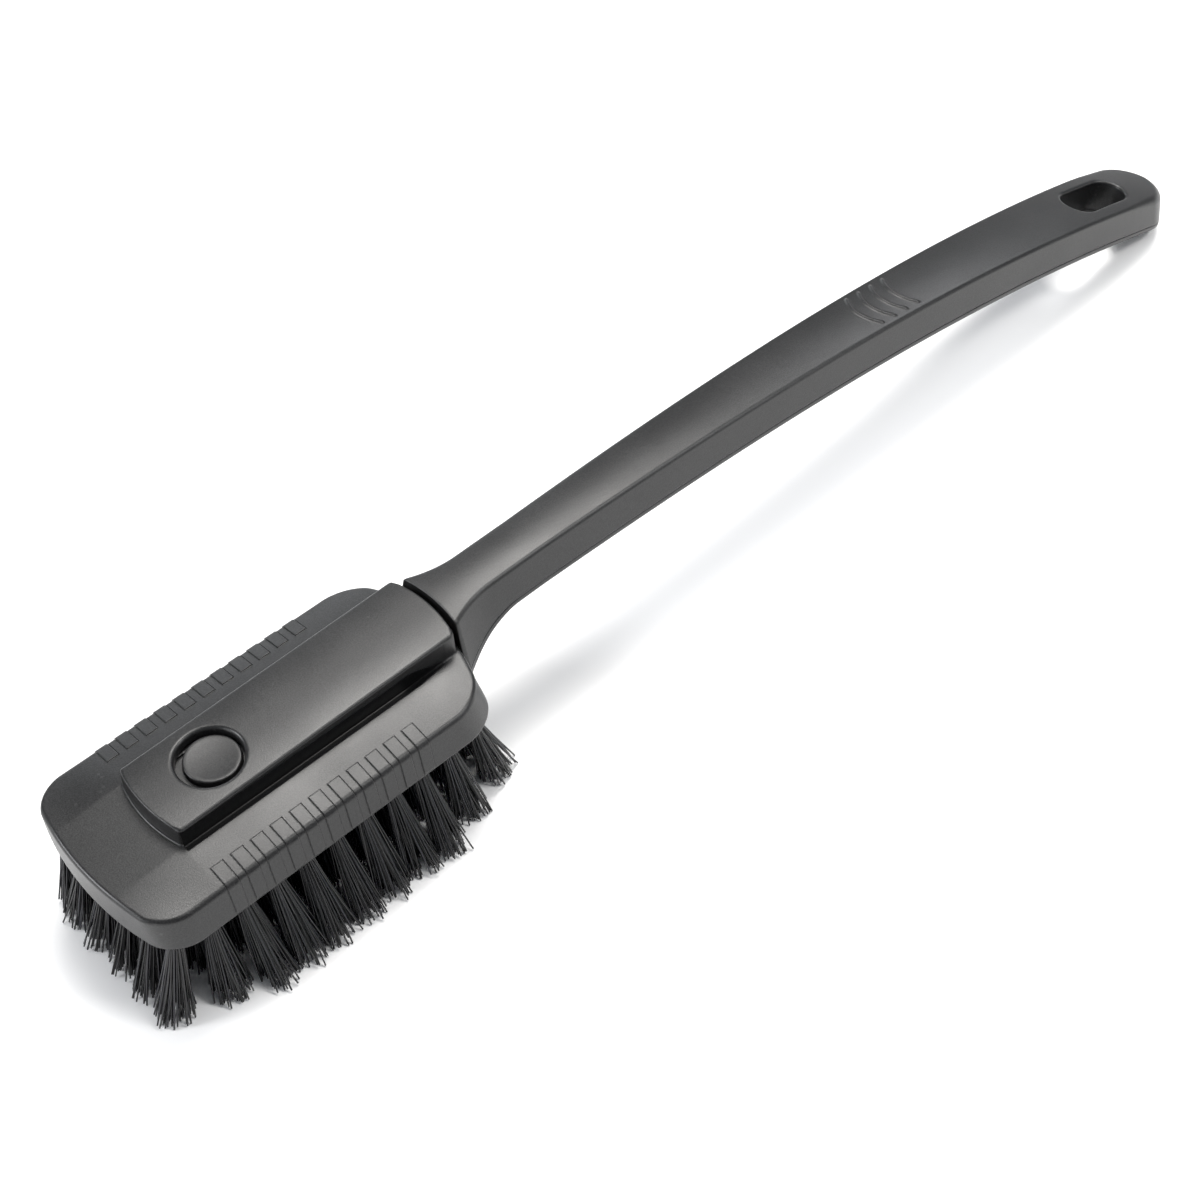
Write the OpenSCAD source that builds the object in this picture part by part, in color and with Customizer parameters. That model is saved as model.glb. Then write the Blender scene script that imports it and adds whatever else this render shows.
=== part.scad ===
// Long-handled wheel brush.
//
// A tufted brush block carries a raised socket housing on its back. A hollow
// handle in two shells plugs into the socket with a flat tang. A springy tongue
// in the tang ends in a round button, which snaps up through the round hole in
// the housing and locks the handle. Pressing the button frees it.
//
// X runs from the block to the handle's tip, Z is up, and the bristle tips and
// the underside of the handle's tip both rest on Z = 0.

/* [Brush block] */
// Length of the block from its bowed front edge to its bowed rear edge
head_len = 112.5; // [92:0.5:136]
// Width of the block across its crease
head_w = 57; // [47:0.5:70]
// Height of the side wall from the bottom face to the crease
skirt_h = 10.4; // [8.6:0.2:14]
// How far each side wall flares out from the crease to the bottom face
skirt_flare = 1.7; // [0:0.1:3]
// How far the rear wall flares out at the bottom, on each side of the collar
rear_flare = 2.8; // [0:0.1:4]
// Rise of the sloping shoulder from the crease to the socket housing
shoulder_rise = 2.8; // [1.5:0.1:4]
// Radius of the bowed front edge, seen from above
front_bow_r = 95; // [60:1:140]
// Radius of the bowed rear edge, seen from above
rear_bow_r = 62; // [55:1:90]
// Radius of the block's corners, seen from above
corner_r = 8; // [4:0.5:10]

/* [Grip pads] */
// Number of raised grip pads along each side
pad_count = 11; // [0:1:11]
// Distance from one grip pad to the next
pad_pitch = 6; // [5:0.1:6.5]
// Length of each grip pad along the block
pad_len = 3.5; // [2:0.1:4.5]
// How far a grip pad stands out of the surface
pad_proud = 0.45; // [0.2:0.05:0.8]
// How far the pads are set towards the front from the middle of the block
pad_shift = 1.4; // [0:0.1:2]

/* [Socket housing] */
// Width of the raised housing
housing_w = 26.2; // [23:0.2:30]
// Distance from the block's front to the housing's front wall
housing_front = 19.8; // [16:0.2:24]
// Height of the housing's top edge above the crease, at the front
housing_rise = 8.5; // [8.2:0.1:11]
// Extra height of the housing's top edge at the rear
housing_climb = 1.9; // [0:0.1:3]
// Rise of the crowned top between its two long edges
housing_crown = 0.5; // [0.2:0.1:1.5]
// Width of the groove beside each long wall of the housing
groove_w = 1.8; // [1:0.1:3]
// Depth of that groove below the shoulder
groove_depth = 2.6; // [1:0.1:3.2]

/* [Socket and tang] */
// Width of the flat tang
tang_w = 18; // [15:0.1:21.6]
// Height of the flat tang
tang_h = 6.8; // [6.2:0.1:7.2]
// How far the tang reaches in front of the button's centre
tang_nose = 12; // [11.5:0.5:14]
// Gap between the tang and the socket on every side
socket_gap = 0.3; // [0.2:0.05:0.5]
// Thickness of the plastic above the socket, at the housing's front edge
roof_t = 2.2; // [1.8:0.1:2.4]
// Thickness of the tang's side walls
tang_wall = 1.3; // [1:0.1:1.6]
// Thickness of the tang's floor
tang_floor = 1.2; // [1:0.1:1.4]

/* [Release button] */
// Radius of the round button
button_r = 7.5; // [5:0.1:9]
// Height of the button above its tongue
button_h = 2.1; // [1.6:0.1:2.6]
// Distance from the block's front to the button's centre
button_x = 40.9; // [37:0.1:50]
// Gap between the button and its hole, on the tongue's root side
button_gap = 0.7; // [0.5:0.1:1.2]
// How much further the hole reaches towards the front
button_hole_extra = 0.7; // [0:0.1:1]
// Thickness of the springy tongue
tongue_t = 1.8; // [1.4:0.1:2]
// Length of the tongue from its root to the button's centre
tongue_len = 44; // [38:0.5:50]
// Gap beside and around the tongue
tongue_gap = 0.3; // [0.2:0.05:0.4]

/* [Tufts] */
// Free length of the bristles below the block
bristle_len = 28; // [20:0.5:36]
// Distance from the block's front and rear edges to the first and last rows
row_inset = 8.75; // [8:0.25:12]
// Distance from the crease to the outermost tufts
column_inset = 4.5; // [3.5:0.25:6]
// Radius of the drilled tuft hole
hole_r = 2; // [1.6:0.05:2.2]
// Thickness of the plastic left between the tuft holes and the socket
socket_floor_t = 1.3; // [1:0.1:3]
// Gap between a tuft's root and its hole
root_gap = 0.1; // [0.05:0.05:0.2]
// Radius of a tuft at the bristle tips
tip_r = 4.2; // [3:0.1:4.4]
// Outward lean of the outermost tufts
outer_lean = 20; // [10:1:24]
// Outward lean of the tufts between the outer and the inner ones
middle_lean = 10; // [4:1:12]
// Outward lean of the two inner tufts
inner_lean = 3; // [0:1:4]
// Lean of the first and last rows, away from the block
end_row_lean = 13; // [0:1:15]
// Share of the outward lean that the first and last rows keep
end_row_side_share = 0.1; // [0:0.1:1]
// Thickness of the steel anchor strip
anchor_t = 0.5; // [0.3:0.05:0.8]
// Height of the steel anchor strip
anchor_h = 1.6; // [1:0.1:2]
// How far each end of the anchor bites into the wall of its hole
anchor_bite = 0.3; // [0.1:0.05:0.5]

/* [Handle] */
// Overall length from the block's front to the handle's tip
overall_len = 440; // [360:1:540]
// Height of the handle's top face above the crease, at the seam
neck_rise = 11.2; // [10.4:0.1:12.4]
// Slope of the top face at the seam
neck_slope = 0.031; // [0:0.001:0.08]
// Slope of the top face at the tip
tip_slope = -0.31; // [-0.4:0.01:-0.2]
// Depth of the handle at its tip
tip_depth = 14; // [12:0.1:16]
// Depth of the handle along its grip
grip_depth = 14.6; // [12:0.1:16]
// Width of the top face at the slim neck
neck_w = 14.8; // [13:0.1:17]
// Width of the top face near the tip
tip_w = 24.4; // [21:0.1:27]
// Length of the rounded end of the handle
tip_round = 14; // [9:0.5:16]
// How far each side wall flares out from the top edge to the shell's seam
side_flare = 1.2; // [0.4:0.1:1.6]
// Share of the handle's depth that the upper shell takes
seam_share = 0.8; // [0.7:0.01:0.84]
// Radius of the top edges
top_edge_r = 1.1; // [0.6:0.1:1.6]
// Wall thickness of the hollow shell
shell_wall = 2; // [1.4:0.1:2.6]

/* [Collar] */
// Gap of the seam between the collar and the block
seam_gap = 0.4; // [0.2:0.05:0.6]
// Width of the collar's top face at the seam
collar_top_w = 21.4; // [19:0.2:23]
// Width of the collar where its side walls are widest
collar_w = 28.8; // [26:0.2:32]
// Length over which the collar narrows into the neck
collar_len = 20; // [15:0.5:30]
// Height of the collar's underside above the block's bottom face
collar_lift = 0.3; // [0:0.1:3]

/* [Hanging slot] */
// Length of the hanging slot
slot_len = 30; // [18:0.2:34]
// Width of the hanging slot
slot_w = 13; // [8:0.2:14]
// Distance from the middle of the slot to the handle's tip
slot_inset = 34.4; // [28:0.2:40]

/* [Thumb ridges] */
// Number of curved ridges on the grip
ridge_count = 4; // [0:1:6]
// Distance from one ridge to the next
ridge_pitch = 5.6; // [4:0.1:7]
// Distance from the ridge nearest the tip to the handle's tip
ridge_inset = 140.5; // [120:0.5:160]
// Radius of each curved ridge
ridge_r = 11; // [9:0.5:13]
// Half of the angle that each ridge spans
ridge_half_angle = 48; // [25:1:55]
// How far a ridge stands out of the top face
ridge_proud = 0.45; // [0.2:0.05:0.8]

/* [Hidden] */
row_count = 11;
row_numbers = [for (i = [0 : row_count - 1]) i];

$fn = 48;
eps = 0.02;
plastic = [0.27, 0.27, 0.28];
filament = [0.08, 0.08, 0.09];
steel = [0.72, 0.72, 0.74];

// Heights of the block
block_bottom = bristle_len;
crease_z = block_bottom + skirt_h;
shoulder_z = crease_z + shoulder_rise;
housing_edge_z = crease_z + housing_rise;

// The socket and the tang share one centre line and one gap
socket_roof_z = housing_edge_z - roof_t;
socket_floor_z = socket_roof_z - tang_h - 2 * socket_gap;
socket_half_w = tang_w / 2 + socket_gap;
nose_gap = socket_gap + 0.5;
tang_top_z = socket_roof_z - socket_gap;
tang_bottom_z = tang_top_z - tang_h;
seam_x = head_len + seam_gap;
tang_front = button_x - tang_nose;
tray_floor_z = tang_bottom_z + tang_floor;

// The tongue fills the top of the tray that the tang forms
tongue_root_x = button_x + tongue_len;
tongue_half_w = tang_w / 2 - tang_wall - tongue_gap;
tongue_front = tang_front + tang_wall + tongue_gap;
tongue_mid_z = tang_top_z - tongue_t / 2;
button_hole_r = button_r + button_gap + button_hole_extra;
button_hole_x = button_x - button_hole_extra;

// Tufts: rows along the block, and six leaning columns across it
column_leans = [outer_lean, middle_lean, inner_lean, inner_lean, middle_lean, outer_lean];
column_last = len(column_leans) - 1;
row_pitch = (head_len - 2 * row_inset) / (row_count - 1);
column_pitch = (head_w - 2 * column_inset) / column_last;
hole_depth = socket_floor_z - block_bottom - socket_floor_t;
second_row_share = 0.3;
second_row_side_share = 0.6;
// A tuft's tip stays clear of the next row, however close the rows are
tip_room = 0.3;
tuft_tip_r = min(tip_r, row_pitch / 2 - tip_room);
tuft_spread = (tuft_tip_r - hole_r + root_gap) / bristle_len;
tuft_overrun = 1.3;
// The anchor's strip folds over the filaments near the bottom of its hole
anchor_setback = 2.2;
anchor_depth = hole_depth - anchor_setback;

// The front tips of the first row are the lowest X of the whole brush
front_tip_t = (bristle_len + hole_r * sin(end_row_lean))
    / (cos(end_row_lean) - tuft_spread * sin(end_row_lean));
front_tip_x = row_inset - front_tip_t * sin(end_row_lean)
    - (hole_r - root_gap + tuft_spread * front_tip_t) * cos(end_row_lean);
front_x = min(0, front_tip_x);
middle_x = (front_x + overall_len) / 2;

// The handle's run, and where it is hollow
neck_top = crease_z + neck_rise;
collar_drop = neck_top - grip_depth - block_bottom - collar_lift;
// The handle's outline starts inside the block, where the seam cuts it off
run_lead = 6;
run_start = head_len - run_lead;
// Solid plastic left before and behind the hollow
solid_end = 6;
run_len = overall_len - seam_x;
hollow_start = seam_x + collar_len + solid_end;
hollow_end = overall_len - slot_inset - slot_len / 2 - solid_end;
wide_start = 0.1;
wide_end = 0.92;
deep_start = 0.6;
collar_top_share = 0.72;
end_power = 2.3;
locator_h = 1.2;
locator_gap = 0.15;
joint_recess = 0.15;
joint_step = 0.05;
slot_x = overall_len - slot_inset;

function clamp01(v) = max(0, min(1, v));
function smooth(v) = clamp01(v) * clamp01(v) * (3 - 2 * clamp01(v));

// Points of an arc from angle a to angle b, in n steps
function arc(cx, cy, r, a, b, n) =
    [for (i = [0 : n]) [cx + r * cos(a + (b - a) * i / n), cy + r * sin(a + (b - a) * i / n)]];

// Outline of the block: straight sides, bowed ends and round corners. It has the
// half width hw, is set in by end_in at the ends and reaches out by rear_out.
bow_part = 0.8;
function block_outline(hw, end_in, rc, rear_out) =
    let (
        front_r = front_bow_r - end_in,
        rear_r = rear_bow_r - end_in,
        cy = hw - rc,
        front_bow = asin(cy / (front_r - rc)),
        rear_bow = asin(cy / (rear_r - rc)),
        front_cx = front_bow_r - (front_r - rc) * cos(front_bow),
        rear_x = head_len + rear_out - rear_bow_r,
        rear_cx = rear_x + (rear_r - rc) * cos(rear_bow)
    )
    concat(
        arc(front_cx, -cy, rc, 270, 180 + front_bow, 6),
        arc(front_bow_r, 0, front_r, 180 + front_bow * bow_part, 180 - front_bow * bow_part, 8),
        arc(front_cx, cy, rc, 180 - front_bow, 90, 6),
        arc(rear_cx, cy, rc, 90, rear_bow, 6),
        arc(rear_x, 0, rear_r, rear_bow * bow_part, -rear_bow * bow_part, 8),
        arc(rear_cx, -cy, rc, -rear_bow, -90, 6)
    );

// A closed solid through rings of points that all have the same length
module loft(rings) {
    n = len(rings[0]);
    last = len(rings) - 1;
    polyhedron(
        points = [for (ring = rings) each ring],
        faces = concat(
            [[for (i = [0 : n - 1]) i]],
            [for (k = [0 : last - 1], i = [0 : n - 1])
                [k * n + i, (k + 1) * n + i, (k + 1) * n + (i + 1) % n, k * n + (i + 1) % n]],
            [[for (i = [n - 1 : -1 : 0]) last * n + i]]
        ),
        convexity = 6
    );
}

// ---- Brush block ----

// One level of the block: height z, half width hw, end inset, corner radius and
// how far the rear wall reaches out
function block_ring(z, hw, end_in, rc, rear_out = 0) =
    [for (p = block_outline(hw, end_in, rc, rear_out)) [p[0], p[1], z]];

// The crease is rounded over this width and this height
crease_in = 0.9;
crease_up = 0.3;

// The shoulder rises in a gentle curve from the crease (0) to the housing (1)
shoulder_run = (head_w - housing_w) / 2 - 1;
shoulder_power = 1.5;
function shoulder_ring(t) =
    block_ring(
        crease_z + crease_up + (shoulder_rise - crease_up) * (1 - pow(1 - t, shoulder_power)),
        head_w / 2 - crease_in - (shoulder_run - crease_in) * t,
        crease_in + (shoulder_run - crease_in) * t,
        max(1, corner_r - crease_in - corner_r * t)
    );

module block_skin() {
    half = head_w / 2;
    foot = half + skirt_flare;
    wall_top = 1.2;
    wall_in = 0.25;
    foot_r = 0.5;
    // Share of the wall's height that lies above its straight part
    top_share = wall_top / skirt_h;
    // From the top ring down to the bottom face
    loft([
        shoulder_ring(1),
        shoulder_ring(0.65),
        shoulder_ring(0.35),
        shoulder_ring(0.15),
        shoulder_ring(0),
        block_ring(crease_z - crease_up, half - wall_in, wall_in, corner_r - wall_in),
        block_ring(crease_z - wall_top, half + skirt_flare * top_share, 0, corner_r, rear_flare * top_share),
        block_ring(block_bottom + foot_r, foot, 0, corner_r, rear_flare),
        block_ring(block_bottom, foot - foot_r, foot_r, corner_r, rear_flare)
    ]);
}

// Radius of the crowned top, from its rise between the long edges
crown_r = (housing_w * housing_w / 4 + housing_crown * housing_crown) / (2 * housing_crown);
climb_angle = atan(housing_climb / (head_len - housing_front));
housing_bow_r = 46;

module housing_body() {
    intersection() {
        translate([housing_front, -housing_w / 2, crease_z - 2])
            cube([head_len - housing_front, housing_w, housing_rise + 12]);
        translate([housing_front, 0, housing_edge_z])
            rotate([0, -climb_angle, 0])
                translate([-housing_front, 0, housing_crown - crown_r])
                    rotate([0, 90, 0])
                        cylinder(r = crown_r, h = head_len + 40, $fn = 160);
        translate([housing_front + housing_bow_r, 0, 0])
            cylinder(r = housing_bow_r, h = 80, $fn = 160);
        translate([head_len - rear_bow_r, 0, 0])
            cylinder(r = rear_bow_r, h = 80, $fn = 160);
    }
}

// Slope of the shoulder where the upper halves of the grip pads lie
shoulder_angle = 12;

// Reach of a pad over the shoulder, its thickness in the block, and the height
// between its lower end and the block's bottom face
pad_reach = 6.3;
pad_t = 1.6;
pad_lift = 1.1;

module grip_pad() {
    drop = skirt_h - crease_up - pad_lift;
    // Upper half on the shoulder
    translate([0, head_w / 2 - crease_in, crease_z + crease_up + pad_proud])
        rotate([-shoulder_angle, 0, 0])
            translate([0, -pad_reach, -pad_t])
                cube([pad_len, pad_reach, pad_t]);
    // Lower half on the flared side wall
    translate([0, head_w / 2 + pad_proud, crease_z - crease_up])
        rotate([atan(skirt_flare / skirt_h), 0, 0])
            translate([0, -pad_t, -drop])
                cube([pad_len, pad_t, drop]);
}

first_pad_x = (head_len - (pad_count - 1) * pad_pitch - pad_len) / 2 - pad_shift;

module grip_pads() {
    for (i = [0 : 1 : pad_count - 1], side = [0, 1])
        mirror([0, side, 0])
            translate([first_pad_x + i * pad_pitch, 0, 0])
                grip_pad();
}

// Room beside and below the collar, cut out of the flared rear wall
module collar_room() {
    room = 0.6;
    difference() {
        translate([head_len - rear_bow_r / 2, -collar_w / 2 - room, block_bottom - 1])
            cube([rear_bow_r, collar_w + 2 * room, skirt_h + 4]);
        translate([head_len - rear_bow_r, 0, 0])
            cylinder(r = rear_bow_r, h = 80, $fn = 160);
    }
}

module housing_grooves() {
    groove_start = housing_front + 1;
    groove_end = head_len - 7;
    groove_top = 3;
    for (side = [0, 1])
        mirror([0, side, 0])
            translate([groove_start, housing_w / 2, shoulder_z - groove_depth])
                cube([groove_end - groove_start, groove_w, groove_depth + groove_top]);
}

// ---- Tufts ----

function row_lean(row) =
    row == 0 ? -end_row_lean
    : row == 1 ? -end_row_lean * second_row_share
    : row == row_count - 2 ? end_row_lean * second_row_share
    : row == row_count - 1 ? end_row_lean
    : 0;

function column_y(column) = (column - column_last / 2) * column_pitch;
// Rows near the ends of the block lean less towards its sides
function side_share(row) =
    row == 0 || row == row_count - 1 ? end_row_side_share
    : row == 1 || row == row_count - 2 ? second_row_side_share
    : 1;
function column_lean(row, column) =
    (column < column_last / 2 ? -1 : 1) * column_leans[column] * side_share(row);

// Puts a child that points down from the origin at the mouth of one tuft hole
module at_tuft(row, column) {
    translate([row_inset + row * row_pitch, column_y(column), block_bottom])
        rotate([column_lean(row, column), -row_lean(row), 0])
            children();
}

module tuft_hole() {
    translate([0, 0, -2])
        cylinder(r = hole_r, h = hole_depth + 2, $fn = 32);
}

module tuft_holes() {
    for (row = row_numbers, column = [0 : column_last])
        at_tuft(row, column)
            tuft_hole();
}

module tuft() {
    root_r = hole_r - root_gap;
    reach = bristle_len * tuft_overrun;
    difference() {
        union() {
            cylinder(r = root_r, h = hole_depth - root_gap, $fn = 32);
            translate([0, 0, -reach])
                cylinder(r1 = root_r + tuft_spread * reach, r2 = root_r, h = reach + eps, $fn = 32);
        }
        translate([-anchor_t / 2, -hole_r - 1, anchor_depth])
            cube([anchor_t, 2 * hole_r + 2, anchor_h]);
    }
}

module tuft_row(row) {
    color(filament)
        difference() {
            for (column = [0 : column_last])
                at_tuft(row, column)
                    tuft();
            translate([-head_len, -head_w * 2, -bristle_len])
                cube([head_len * 3, head_w * 4, bristle_len]);
        }
}

module anchor_row(row) {
    length = 2 * (hole_r + anchor_bite);
    color(steel)
        for (column = [0 : column_last])
            at_tuft(row, column)
                translate([-anchor_t / 2, -length / 2, anchor_depth])
                    cube([anchor_t, length, anchor_h]);
}

module brush_block() {
    color(plastic)
        difference() {
            union() {
                block_skin();
                housing_body();
                grip_pads();
            }
            translate([tang_front - nose_gap, -socket_half_w, socket_floor_z])
                cube([head_len, 2 * socket_half_w, socket_roof_z - socket_floor_z]);
            translate([button_hole_x, 0, tang_bottom_z + 1])
                cylinder(r = button_hole_r, h = 20, $fn = 64);
            housing_grooves();
            collar_room();
            tuft_holes();
        }
}

// ---- Handle ----

// Share of the way from the seam to the tip
function share(x) = (x - seam_x) / run_len;

// Height of the top face: one smooth curve with a given slope at each end
function top_z(x) =
    let (t = share(x), a = 1 - t)
    neck_top * a * a * (1 + 2 * t) + neck_slope * run_len * t * a * a
    + tip_depth * t * t * (3 - 2 * t) - tip_slope * run_len * t * t * a;

function top_slope(x) = (top_z(x + 0.5) - top_z(x - 0.5));

// 1 at the seam, falling to 0 where the collar has narrowed into the neck
function collar_share(x, length) = pow(clamp01(1 - (x - seam_x) / length), 2);

// Depth of the handle, which grows at the tip and drops down at the collar
function depth(x) =
    grip_depth + (tip_depth - grip_depth) * smooth((share(x) - deep_start) / (1 - deep_start))
    + collar_drop * smooth(1 - (x - seam_x - 2) / (collar_len + 1));

// Rounding of the handle's end, seen from above
function end_round(x) =
    let (e = clamp01(1 - (overall_len - x) / tip_round))
    pow(1 - pow(e, end_power), 1 / end_power);

function half_top(x) =
    (neck_w / 2 + (tip_w - neck_w) / 2 * clamp01((share(x) - wide_start) / (wide_end - wide_start))
    + (collar_top_w - neck_w) / 2 * collar_share(x, collar_len * collar_top_share)) * end_round(x);

function half_side(x) =
    half_top(x) + side_flare
    + (collar_w / 2 - collar_top_w / 2 - side_flare) * collar_share(x, collar_len);

function part_z(x) = top_z(x) - seam_share * depth(x);
function hollow(x) = (x > hollow_start && x < hollow_end) ? 1 : 0;

// The rounded top edge passes through one point, given as shares of its radius
edge_in = 0.3;
edge_down = 0.1;
// The hollow keeps this share of the half width, and narrows towards its roof
least_inner = 0.3;
hollow_taper = 0.9;
// The round underside, as shares of the lower shell's height
belly_in = 0.1;
belly_down = 0.45;
hip_in = 0.3;
hip_down = 0.8;
foot_in = 0.8;
least_foot = 0.4;
// The locating step is this much narrower at its top
locator_taper = 0.3;

function inner_half(x) = max(half_side(x) - shell_wall, half_side(x) * least_inner);

// Upper shell: flat top, round top edges, flared walls and an open underside
function shell_ring(x) =
    let (
        w = half_top(x),
        s = half_side(x),
        z = top_z(x),
        p = part_z(x),
        r = min(top_edge_r, w / 2),
        inner = inner_half(x),
        roof = p + joint_recess + max(0, z - shell_wall - p - joint_recess) * hollow(x),
        right = [
            [w - r, z],
            [w - edge_in * r, z - edge_down * r],
            [w, z - r],
            [s, p],
            [inner, p],
            [inner * hollow_taper, roof]
        ]
    )
    concat(
        [for (q = right) [x, -q[0], q[1]]],
        [for (i = [len(right) - 1 : -1 : 0]) [x, right[i][0], right[i][1]]]
    );

// Lower shell: a locating step on top, and a round-edged underside
function base_ring(x) =
    let (
        s = half_side(x),
        p = part_z(x),
        b = top_z(x) - depth(x),
        h = p - b,
        inner = inner_half(x) - locator_gap,
        right = [
            [inner - locator_taper, p + joint_step + (locator_h - joint_step) * hollow(x)],
            [inner, p],
            [s, p],
            [s - belly_in * h, p - belly_down * h],
            [s - hip_in * h, p - hip_down * h],
            [max(s - foot_in * h, s * least_foot), b]
        ]
    )
    concat(
        [for (q = right) [x, -q[0], q[1]]],
        [for (i = [len(right) - 1 : -1 : 0]) [x, right[i][0], right[i][1]]]
    );

// Where the rings of the handle lie: close together at the collar, at the ends
// of the hollow and at the rounded tip
collar_steps = 9;
grip_steps = 24;
slot_steps = 4;
tip_steps = 9;
last_step = 9.4;
hollow_ramp = 1.5;
stations = concat(
    [for (i = [0 : collar_steps]) run_start + (hollow_start - run_start) * i / collar_steps],
    [hollow_start + hollow_ramp],
    [for (i = [1 : grip_steps - 1]) hollow_start + (hollow_end - hollow_start) * i / grip_steps],
    [hollow_end - hollow_ramp],
    [for (i = [0 : slot_steps]) hollow_end + (overall_len - tip_round - hollow_end) * i / slot_steps],
    [for (i = [1 : tip_steps]) overall_len - tip_round * (1 - sin(90 * i / last_step))]
);

// Cut that fits the collar to the bowed rear of the block
module seam_cut() {
    translate([head_len - rear_bow_r, 0, -1])
        cylinder(r = rear_bow_r + seam_gap, h = neck_top + 30, $fn = 200);
}

// Through slot with round ends, square to the handle's top face
module slot_cut() {
    translate([slot_x, 0, top_z(slot_x)])
        rotate([0, -atan(top_slope(slot_x)), 0])
            translate([0, 0, -tip_depth - 8]) {
                for (side = [-1, 1])
                    translate([side * (slot_len - slot_w) / 2, 0, 0])
                        cylinder(r = slot_w / 2, h = tip_depth + 16, $fn = 48);
                translate([-(slot_len - slot_w) / 2, -slot_w / 2, 0])
                    cube([slot_len - slot_w, slot_w, tip_depth + 16]);
            }
}

module tang() {
    tray_half_w = tongue_half_w + tongue_gap;
    difference() {
        translate([tang_front, -tang_w / 2, tang_bottom_z])
            cube([seam_x + 4 - tang_front, tang_w, tang_h]);
        // The tray holds the tongue and gives it room to travel
        translate([tongue_front - tongue_gap, -tray_half_w, tray_floor_z])
            cube([tongue_root_x - tongue_front + tongue_t, 2 * tray_half_w, tang_h]);
        translate([button_x, 0, tray_floor_z])
            cylinder(r = button_r + tongue_gap, h = tang_h, $fn = 64);
    }
}

// Curved ridges under the thumb, bulging towards the block
module thumb_ridges() {
    sunk = 0.5;
    ridge_w = 1;
    for (i = [0 : 1 : ridge_count - 1]) {
        x = overall_len - ridge_inset - i * ridge_pitch;
        translate([x, 0, top_z(x)])
            rotate([0, -atan(top_slope(x)), 0])
                translate([ridge_r, 0, -sunk])
                    rotate([0, 0, 180 - ridge_half_angle])
                        rotate_extrude(angle = 2 * ridge_half_angle, $fn = 96)
                            translate([ridge_r - ridge_w / 2, 0])
                                square([ridge_w, sunk + ridge_proud]);
    }
}

module handle_shell() {
    color(plastic)
        union() {
            difference() {
                loft([for (x = stations) shell_ring(x)]);
                seam_cut();
                slot_cut();
            }
            tang();
            thumb_ridges();
        }
}

module handle_base() {
    color(plastic)
        difference() {
            loft([for (x = stations) base_ring(x)]);
            seam_cut();
            slot_cut();
        }
}

// ---- Release latch ----

module latch_tongue() {
    color(plastic) {
        translate([tongue_front, -tongue_half_w, tang_top_z - tongue_t])
            cube([tongue_root_x - tongue_front, 2 * tongue_half_w, tongue_t]);
        translate([tongue_root_x, tongue_half_w, tongue_mid_z])
            rotate([90, 0, 0])
                cylinder(r = tongue_t / 2, h = 2 * tongue_half_w, $fn = 32);
        translate([button_x, 0, tang_top_z - tongue_t])
            cylinder(r = button_r, h = button_h + tongue_t, $fn = 64);
    }
}

// The whole brush stands with the middle of its length and width at the origin
module placed() {
    translate([-middle_x, 0, 0])
        children();
}

placed() brush_block();
placed() handle_shell();
placed() handle_base();
placed() latch_tongue();
for (row = row_numbers) {
    placed() tuft_row(row);
    placed() anchor_row(row);
}
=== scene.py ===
"""A long-handled wheel brush on a plain pale floor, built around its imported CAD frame.

Shapes are worked out in millimetres, with X = 0 at the front of the brush block, and are placed
in the frame's metres by piece(). The moulded parts are closed surfaces of smooth fields, so
that each edge has its own radius, and the bristles are real filaments, one mesh for each row.
"""
import itertools
import math

import bpy
import numpy as np
from mathutils import Matrix, Vector


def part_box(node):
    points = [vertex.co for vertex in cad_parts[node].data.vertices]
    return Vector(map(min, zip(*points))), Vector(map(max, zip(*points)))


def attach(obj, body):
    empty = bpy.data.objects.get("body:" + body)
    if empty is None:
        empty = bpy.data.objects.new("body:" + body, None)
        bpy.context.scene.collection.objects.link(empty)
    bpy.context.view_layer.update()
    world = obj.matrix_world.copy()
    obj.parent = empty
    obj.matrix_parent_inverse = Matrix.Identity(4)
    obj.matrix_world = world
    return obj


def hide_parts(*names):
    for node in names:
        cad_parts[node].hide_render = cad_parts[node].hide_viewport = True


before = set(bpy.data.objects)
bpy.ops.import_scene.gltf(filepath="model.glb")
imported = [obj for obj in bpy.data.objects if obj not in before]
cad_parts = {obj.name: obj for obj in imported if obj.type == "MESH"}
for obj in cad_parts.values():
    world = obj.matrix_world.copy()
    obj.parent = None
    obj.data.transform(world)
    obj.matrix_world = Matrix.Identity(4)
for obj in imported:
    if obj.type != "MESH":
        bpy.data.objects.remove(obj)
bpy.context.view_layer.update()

MM = 0.001
block_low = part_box("brush_block")[0]
tip_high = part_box("handle_base")[1]
tongue_low, tongue_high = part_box("latch_tongue")
FRONT_X = block_low.x                      # where the block's front lies in the frame, metres

# ---- Sizes in millimetres ----

HEAD_LEN = 112.5
HEAD_HALF = 28.5                           # half width at the crease
BLOCK_BOTTOM = block_low.z / MM
SKIRT_H = 10.4
CREASE_Z = BLOCK_BOTTOM + SKIRT_H
FLARE = 1.7
SHOULDER_RISE = 2.8
SHOULDER_Z = CREASE_Z + SHOULDER_RISE
REAR_FLARE = 2.8
FRONT_BOW_R = 95
BOW_R = 62                                 # the block's rear edge, which the handle's collar follows
CORNER_R = 8
SHOULDER_LIFT = 0.2                        # the shoulder's height above the crease at its rim
CREASE_R = 1.1
BOTTOM_EDGE_R = 0.4

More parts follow.
